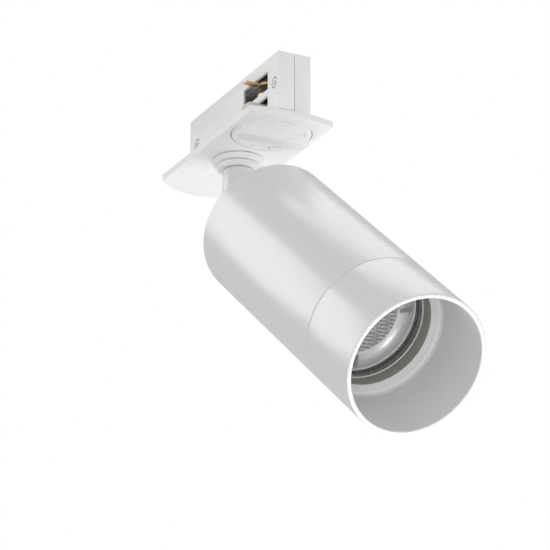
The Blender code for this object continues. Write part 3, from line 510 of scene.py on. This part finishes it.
def lock_knob():
    """The round knob: a disc flush with the plate, a grip bar across it, and two pockets."""
    face = -PLATE_THICK
    back = face + KNOB_THICK
    obj = loose_object("lock_knob_moulding", ring(KNOB_RADIUS, 0, face, back, 0.3 * MM), LOCK)
    rim = KNOB_RADIUS - 0.5 * MM
    turn = math.asin(KNOB_BAR_HALF / rim)
    bar = arc(rim, math.pi / 2 - turn, math.pi / 2 + turn, 12)
    bar += arc(rim, 1.5 * math.pi - turn, 1.5 * math.pi + turn, 12)
    grip = prism(bar, face - KNOB_BAR_PROUD, face + 0.5 * MM)
    crown = [e for e in grip.edges if all(v.co.z < face - KNOB_BAR_PROUD / 2 for v in e.verts)]
    bmesh.ops.bevel(grip, geom=crown, offset=0.7 * MM, segments=4, profile=0.5, affect="EDGES")
    steps = [
        ("UNION", ring(KNOB_HUB, 0, back - 0.5 * MM, FLOOR_TOP + 0.4 * MM, 0, SMALL_ROUND)),
        ("UNION", grip),
    ]
    for way in (0, math.pi):
        reach = KNOB_RADIUS - 2.2 * MM
        start = math.acos((KNOB_BAR_HALF + 0.5 * MM) / reach)
        pocket = prism(arc(reach, way - start, way + start, 40), face - 1 * MM, face + 0.8 * MM)
        steps.append(("DIFFERENCE", pocket))
    bore = ring(SHAFT_RADIUS + GAP, 0, face + 0.9 * MM, 3 * MM, 0, SMALL_ROUND)
    steps.append(("DIFFERENCE", bore))
    shaped(obj, steps, 0.18 * MM, 3)
    finished(obj, "rail_lock", ["lock_knob"], "white_plastic")


# ---------------------------------------------------------------- swivel


def stem_fork():
    """The vertical stem: a threaded tube through the plate, and a fork round the tilt axis."""
    top = DISC_END - GAP
    blind = FORK_SLOT_TOP - PIVOT_DROP - 0.5 * MM
    under = -PIVOT_DROP - STEM_RADIUS - 1 * MM
    outline = [
        (WIRE_BORE, STEM_TUBE_TOP),
        (WIRE_BORE, blind),
        (0, blind),
        (0, under),
        (STEM_RADIUS, under),
        (STEM_RADIUS, top, 0.3 * MM),
        (TUBE_RADIUS, top),
    ]
    obj = loose_object(
        "stem_fork_turned", turned(rounded(outline) + thread(TUBE_RADIUS, top, STEM_TUBE_TOP)), PAN
    )
    reach = 2 * STEM_RADIUS
    side = STEM_RADIUS + 1 * MM
    end = arc(STEM_RADIUS, math.pi, math.tau, 40, (0, -PIVOT_DROP))
    envelope = [(side, 20 * MM), (-side, 20 * MM), (-side, -PIVOT_DROP), *end, (side, -PIVOT_DROP)]
    slot = block(
        (2 * reach, 2 * FORK_SLOT_HALF, FORK_SLOT_TOP + reach),
        (0, 0, -PIVOT_DROP + (FORK_SLOT_TOP - reach) / 2),
    )
    hole, seat = PIN_RADIUS + GAP, PIN_HEAD + 0.4 * MM
    stepped = [
        (0, -reach), (seat, -reach), (seat, -PIN_SEAT), (hole, -PIN_SEAT),
        (hole, PIN_SEAT), (seat, PIN_SEAT), (seat, reach), (0, reach),
    ]
    steps = [
        ("INTERSECT", upright(prism(envelope, -reach, reach))),
        ("DIFFERENCE", slot),
        ("DIFFERENCE", turned(stepped, SMALL_ROUND, "Y", (0, 0, -PIVOT_DROP))),
    ]
    shaped(obj, steps, 0.2 * MM, 3)
    finished(obj, "stem", ["stem_fork"], "white_paint")


def thread(radius, low, high, pitch=1.0 * MM, depth=0.25 * MM):
    """The outer side of a threaded tube as a row of V grooves, from low to high."""
    turns = int((high - low) / pitch) - 1
    start = high - turns * pitch
    outline = [(radius, start - pitch / 2)]
    for i in range(turns):
        outline += [(radius - depth, start + i * pitch), (radius, start + (i + 0.5) * pitch)]
    return outline + [(radius - depth, high)]


def swivel():
    high, low = BEZEL_END - GAP, DISC_END
    disc = loose_object("swivel_disc_turned", swivel_washer(DISC_RADIUS, low, high), PAN)
    finished(disc, "stem", ["swivel_disc"], "white_plastic")
    stem_fork()


# ---------------------------------------------------------------- head


def neck():
    """The tongue in the fork, the short neck behind the head, and its threaded tube."""
    flange = BACK - 1.8 * MM
    seat = CAP_FACE - GAP
    blind = NECK_SHOULDER + 2.4 * MM
    outline = [
        (0, NECK_SHOULDER),
        (0, blind),
        (WIRE_BORE, blind),
        (WIRE_BORE, NECK_TUBE_END),
        *reversed(thread(TUBE_RADIUS, seat, NECK_TUBE_END)),
        (TUBE_RADIUS, seat),
        (DISC_RADIUS, seat),
        (DISC_RADIUS, flange, 0.5 * MM),
        (STEM_RADIUS, flange, 0.3 * MM),
        (STEM_RADIUS, NECK_SHOULDER, 0.5 * MM),
    ]
    obj = loose_object("neck_turned", turned(rounded(outline)), TILT)
    radius = STEM_RADIUS - 0.3 * MM
    root = NECK_SHOULDER + 1 * MM
    shoulder = radius - 0.7 * MM
    tongue = arc(radius, math.pi, math.tau, 40) + [(shoulder, root), (-shoulder, root)]
    half = FORK_SLOT_HALF - GAP
    steps = [
        ("UNION", upright(prism(tongue, -half, half))),
        ("DIFFERENCE", ring(PIN_RADIUS + GAP, 0, -9 * MM, 9 * MM, 0, SMALL_ROUND, "Y")),
    ]
    shaped(obj, steps, 0.15 * MM, 3)
    finished(obj, "head", ["neck"], "white_paint")


def back_cap():
    outer = HEAD_RADIUS - TUBE_WALL - GAP
    inside = CAP_FACE + CAP_THICK
    bore = TUBE_RADIUS + GAP
    outline = [
        (bore, CAP_FACE),
        (outer, CAP_FACE, 0.5 * MM),
        (outer, CAP_SKIRT_END),
        (outer - 1.4 * MM, CAP_SKIRT_END),
        (outer - 1.4 * MM, inside, 0.5 * MM),
        (bore, inside),
    ]
    obj = loose_object("back_cap_turned", turned(rounded(outline)), TILT)
    hole, low, high = CAP_SCREW + GAP, CAP_FACE - 9 * MM, CAP_SKIRT_END + 1 * MM
    steps = []
    for x in (SCREW_CIRCLE, -SCREW_CIRCLE):
        drill = ring(hole, 0, low, high, 0, SMALL_ROUND, centre=(x, 0, 0))
        steps.append(("DIFFERENCE", drill))
    shaped(obj, steps, 0.15 * MM, 3)
    finished(obj, "head", ["back_cap"], "white_paint")


def head_tube():
    inner = HEAD_RADIUS - TUBE_WALL
    outline = [
        (inner, BACK, 0.3 * MM),
        (HEAD_RADIUS, BACK, 0.55 * MM),
        (HEAD_RADIUS, SEAM, 0.22 * MM),
        (inner, SEAM),
    ]
    obj = loose_object("head_tube_turned", turned(rounded(outline, 6)), TILT)
    finished(obj, "head", ["head_tube"], "white_paint")


# ---------------------------------------------------------------- lamp


def lamp():
    """The lamp's face: a bright rim, a curved bowl with four spokes, and a textured optic."""
    low = LAMP_FRONT - 1.1 * MM
    bead = BOWL_RADIUS + 0.5 * MM
    outline = [
        (BOWL_RADIUS, low),
        (RIM_RADIUS, low),
        (RIM_RADIUS, LAMP_FRONT - 0.2 * MM, 0.2 * MM),
        (bead + 0.9 * MM, LAMP_FRONT - 0.2 * MM),
        (bead + 0.7 * MM, LAMP_FRONT - 0.6 * MM),
        (bead, LAMP_FRONT - 0.6 * MM),
        (bead, LAMP_FRONT, 0.2 * MM),
        (BOWL_RADIUS, LAMP_FRONT, 0.2 * MM),
    ]
    rim = loose_object("lamp_rim_turned", turned(rounded(outline)), TILT)

    def zone(face):
        return int(math.hypot(face.center.x, face.center.y) > bead + 0.02 * MM)

    finished(rim, "lamp", ["lamp_rim"], ["lamp_rim", "rib_paint"], pick=zone)
    lamp_bowl()
    lamp_optic()


def lamp_bowl():
    """The bowl round the optic, a quarter of an ellipse in section, and its four spokes."""
    top = LAMP_FRONT - 1.4 * MM
    deep = 4.4 * MM
    inner = LENS_RADIUS + 0.4 * MM
    wall = 0.8 * MM
    face = [
        (inner + (BOWL_RADIUS - inner) * math.sin(t), top - deep * math.cos(t))
        for t in [math.pi / 2 * i / 16 for i in range(17)]
    ]
    flange, under = BOWL_RADIUS + 2.1 * MM, top - 1.0 * MM
    back = [(flange, top), (flange, under), (BOWL_RADIUS + wall, under)]
    back += [(r + wall, z - wall) for r, z in face[-4:0:-3]]
    back.append((inner, top - deep - wall))
    bowl = loose_object("lamp_bowl_turned", turned(face + back), TILT)
    finished(bowl, "lamp", ["lamp_bowl"], "lamp_bowl")
    for i in range(4):
        angle = math.radians(18 + 90 * i)
        start, end = inner + 1.2 * MM, BOWL_RADIUS - 0.3 * MM
        spoke = block(
            (end - start, 1.5 * MM, 0.7 * MM), ((start + end) / 2, 0, top - 0.4 * MM)
        )
        bmesh.ops.bevel(spoke, geom=spoke.edges[:], offset=0.2 * MM, segments=3, affect="EDGES")
        bmesh.ops.rotate(
            spoke, cent=(0, 0, 0), matrix=Matrix.Rotation(angle, 3, "Z"), verts=spoke.verts
        )
        obj = loose_object(f"lamp_spoke_{i + 1}", spoke, TILT)
        finished(obj, "lamp", ["lamp_bowl"], "lamp_spoke")


def lenslets(x, y, pitch=1.05 * MM):
    """How far a point of the optic's face is from the middle of its lenslet, in pitches."""
    row = round(y / (pitch * math.sqrt(3) / 2))
    best = 1.0
    for step in (row - 1, row, row + 1):
        shift = pitch / 2 if step % 2 else 0.0
        near_x = round((x - shift) / pitch) * pitch + shift
        near_y = step * pitch * math.sqrt(3) / 2
        best = min(best, math.hypot(x - near_x, y - near_y) / pitch)
    return best


def lamp_optic():
    """A domed lens whose face is a honeycomb of small lenslets."""
    crown = LAMP_FRONT - 0.6 * MM
    dome = 0.5 * MM
    back = LAMP_FRONT - 10.4 * MM
    rings = 64
    face = [(LENS_RADIUS * i / rings, crown) for i in range(rings + 1)]
    side = [(LENS_RADIUS, crown - 4.4 * MM), (LENS_RADIUS * 0.55, back), (0, back)]
    bm = turned(face + side, 240)
    for v in bm.verts:
        if v.co.z > crown - 0.1 * MM:
            radius = math.hypot(v.co.x, v.co.y)
            edge = min(1.0, (LENS_RADIUS - radius) / (0.8 * MM))
            v.co.z -= dome * (radius / LENS_RADIUS) ** 2
            v.co.z -= 0.2 * MM * edge * (lenslets(v.co.x, v.co.y) / 0.5) ** 2
    obj = loose_object("lamp_optic_moulding", bm, TILT)
    finished(obj, "lamp", ["lamp_optic"], "lamp_optic")


# ---------------------------------------------------------------- front ring


def front_ring():
    inner = HEAD_RADIUS - RING_WALL
    low = SEAM + GAP
    outline = [
        (inner, low),
        (HEAD_RADIUS, low, 0.22 * MM),
        (HEAD_RADIUS, FRONT, 0.4 * MM),
        (inner, FRONT, 0.4 * MM),
    ]
    obj = loose_object("front_ring_turned", turned(rounded(outline, 6)), TILT)

    def inside(face):
        return int(math.hypot(face.center.x, face.center.y) < inner + 0.1 * MM)

    # The inner wall takes the greyer finish: painted shade inside the ring.
    finished(obj, "front_ring", ["front_ring"], ["white_paint", "snoot_paint"], pick=inside)


def baffle_sleeve():
    """A pale ledge, a dark collar below it, a fine lip, and a ribbed throat round the lamp."""
    outer = HEAD_RADIUS - RING_WALL - GAP
    skirt = outer - 1.0 * MM
    collar = LEDGE_INNER + 0.9 * MM
    under = LEDGE_EDGE - 1.4 * MM
    lip = 113.4 * MM
    throat = LEDGE_INNER - 0.35 * MM
    ribs = [
        (radius, z)
        for i in range(3)
        for radius, z in (
            (throat, lip - (0.4 + 0.7 * i) * MM),
            (throat + 0.3 * MM, lip - (0.5 + 0.7 * i) * MM),
            (throat + 0.3 * MM, lip - (0.8 + 0.7 * i) * MM),
            (throat, lip - (0.9 + 0.7 * i) * MM),
        )
    ]
    sweep = 1.5 * MM
    wall = outer + GAP - 0.03 * MM
    corner = [
        (wall - sweep + sweep * math.sin(t), LEDGE_FACE + sweep - sweep * math.cos(t))
        for t in [math.pi / 2 * i / 8 for i in range(8, 0, -1)]
    ]
    corner.insert(0, (outer, LEDGE_FACE + sweep))
    edge = [
        (LEDGE_INNER + 0.75 * MM, LEDGE_EDGE + 0.3 * MM),
        (LEDGE_INNER + 0.6 * MM, LEDGE_EDGE + 0.1 * MM),
        (LEDGE_INNER + 0.45 * MM, LEDGE_EDGE - 0.2 * MM),
        (LEDGE_INNER, LEDGE_EDGE - 1.2 * MM),
    ]
    outline = [
        *corner,
        *edge,
        (LEDGE_INNER, lip + 0.35 * MM),
        (LEDGE_INNER - 0.15 * MM, lip + 0.3 * MM),
        (throat, lip + 0.1 * MM),
        (throat, lip - 0.05 * MM),
        *ribs,
        (throat, SLEEVE_END),
        (collar, SLEEVE_END),
        (collar, under),
        (skirt, under),
        (skirt, SLEEVE_END),
        (outer, SLEEVE_END),
        (outer, LEDGE_FACE),
    ]
    obj = loose_object("baffle_sleeve_turned", turned(outline), TILT)

    def zone(face):
        height = face.center.z
        if height > LEDGE_EDGE - 0.1 * MM:
            return 0
        if lip - 0.1 * MM < height < lip + 0.36 * MM:
            return 3
        return 1 if height > lip else 2

    looks = ["ledge_paint", "collar_paint", "rib_paint", "lip_paint"]
    finished(obj, "front_ring", ["baffle_sleeve"], looks, zone)


# ---------------------------------------------------------------- carried-over pieces


def shade_group():
    """Smooth shading wherever two faces meet at a shallow angle."""
    tree = bpy.data.node_groups.new("shade_by_angle", "GeometryNodeTree")
    tree.interface.new_socket("Geometry", in_out="INPUT", socket_type="NodeSocketGeometry")
    tree.interface.new_socket("Geometry", in_out="OUTPUT", socket_type="NodeSocketGeometry")
    start = tree.nodes.new("NodeGroupInput")
    end = tree.nodes.new("NodeGroupOutput")
    angle = tree.nodes.new("GeometryNodeInputMeshEdgeAngle")
    shallow = tree.nodes.new("FunctionNodeCompare")
    shallow.operation = "LESS_THAN"
    shallow.inputs["B"].default_value = SMOOTH_ANGLE
    faces = tree.nodes.new("GeometryNodeSetShadeSmooth")
    faces.domain = "FACE"
    edges = tree.nodes.new("GeometryNodeSetShadeSmooth")
    edges.domain = "EDGE"
    tree.links.new(angle.outputs["Unsigned Angle"], shallow.inputs["A"])
    tree.links.new(shallow.outputs["Result"], edges.inputs["Shade Smooth"])
    tree.links.new(start.outputs["Geometry"], faces.inputs["Geometry"])
    tree.links.new(faces.outputs["Geometry"], edges.inputs["Geometry"])
    tree.links.new(edges.outputs["Geometry"], end.inputs["Geometry"])
    return tree


def carry_over():
    """The CAD nodes that stay: their edges are eased, and they get the detailed finishes."""
    group = shade_group()
    slots = {n["name"]: n.get("material_slot") for n in frame["record"].get("nodes", [])}
    for name, obj in frame["nodes"].items():
        if obj.hide_render:
            continue
        old = obj.material_slots[0].material.name if obj.material_slots else ""
        look = next((key for key in LOOKS if old.startswith(key)), None) or slots.get(name)
        obj.material_slots[0].material = LOOKS[look]
        weld = obj.modifiers.new("weld", "WELD")
        weld.merge_threshold = 0.002 * MM
        round_edges(obj, 0.08 * MM)
        shading = obj.modifiers.new("shading", "NODES")
        shading.node_group = group


# ---------------------------------------------------------------- studio


def camera():
    """Below the fixture and to its side, looking up at it through a long lens."""
    made = bpy.data.objects.new("camera", bpy.data.cameras.new("camera"))
    bpy.context.scene.collection.objects.link(made)
    level = math.cos(CAMERA_ELEVATION)
    back = Vector(
        (
            math.sin(CAMERA_AZIMUTH) * level,
            -math.cos(CAMERA_AZIMUTH) * level,
            math.sin(CAMERA_ELEVATION),
        )
    )
    made.location = CAMERA_TARGET + CAMERA_DISTANCE * back
    made.rotation_euler = back.to_track_quat("Z", "Y").to_euler()
    made.data.sensor_width = 36.0
    made.data.lens = CAMERA_LENS
    made.data.clip_start = 0.01
    bpy.context.scene.camera = made


def softbox(name, direction, distance, size, level):
    """A square lamp towards the object; level is the white it gives a matt white face."""
    light = bpy.data.lights.new(name, "AREA")
    light.shape = "RECTANGLE"
    light.size, light.size_y = size
    light.energy = level * math.pi ** 2 * distance ** 2
    made = bpy.data.objects.new(name, light)
    bpy.context.scene.collection.objects.link(made)
    towards = Vector(direction).normalized()
    made.location = HEAD_MIDDLE + towards * distance
    made.rotation_euler = towards.to_track_quat("Z", "Y").to_euler()
    made.visible_camera = False


def studio():
    world = bpy.data.worlds.new("studio")
    bpy.context.scene.world = world
    world.use_nodes = True
    tree = world.node_tree
    tree.nodes.clear()
    seen = node(tree, "ShaderNodeBackground", Color=(1, 1, 1, 1), Strength=1.0)
    felt = node(tree, "ShaderNodeBackground", Color=(0.985, 0.99, 1.0, 1), Strength=0.60)
    path = node(tree, "ShaderNodeLightPath")
    mix = node(tree, "ShaderNodeMixShader")
    out = node(tree, "ShaderNodeOutputWorld")
    tree.links.new(path.outputs["Is Camera Ray"], mix.inputs[0])
    tree.links.new(felt.outputs[0], mix.inputs[1])
    tree.links.new(seen.outputs[0], mix.inputs[2])
    tree.links.new(mix.outputs[0], out.inputs["Surface"])
    softbox("front_box", (0.75, 0.09, -0.65), 1.1, (0.75, 0.75), 0.05)
    softbox("side_box", (-0.62, -0.635, 0.46), 1.1, (0.72, 0.72), 0.13)
    softbox("top_box", (-0.30, 0.21, 0.93), 1.1, (0.72, 0.72), 0.11)
    softbox("low_box", (0.0, 0.62, -0.78), 1.0, (0.9, 0.9), 0.58)
    softbox("near_box", (0.8343, -0.4260, -0.3494), 1.6, (0.7, 0.7), 0.14)
    bm = bmesh.new()
    bmesh.ops.create_grid(bm, x_segments=8, y_segments=8, size=40.0)
    floor = bpy.data.objects.new("floor", bpy.data.meshes.new("floor"))
    bm.to_mesh(floor.data)
    bm.free()
    bpy.context.scene.collection.objects.link(floor)
    floor.location = (0, 0, FLOOR_LEVEL)
    floor.data.materials.append(surface("floor", (0.93, 0.93, 0.93), 0.7, relief=0.05 * MM))
    view = bpy.context.scene.view_settings
    view.view_transform = "Standard"
    view.look = "None"


HEAD_MIDDLE = TILT @ Vector((0, 0, (BACK + FRONT) / 2))
LOOKS = make_looks()
camera()
adapter()
lock_knob()
swivel()
neck()
back_cap()
head_tube()
lamp()
front_ring()
baffle_sleeve()
carry_over()
studio()
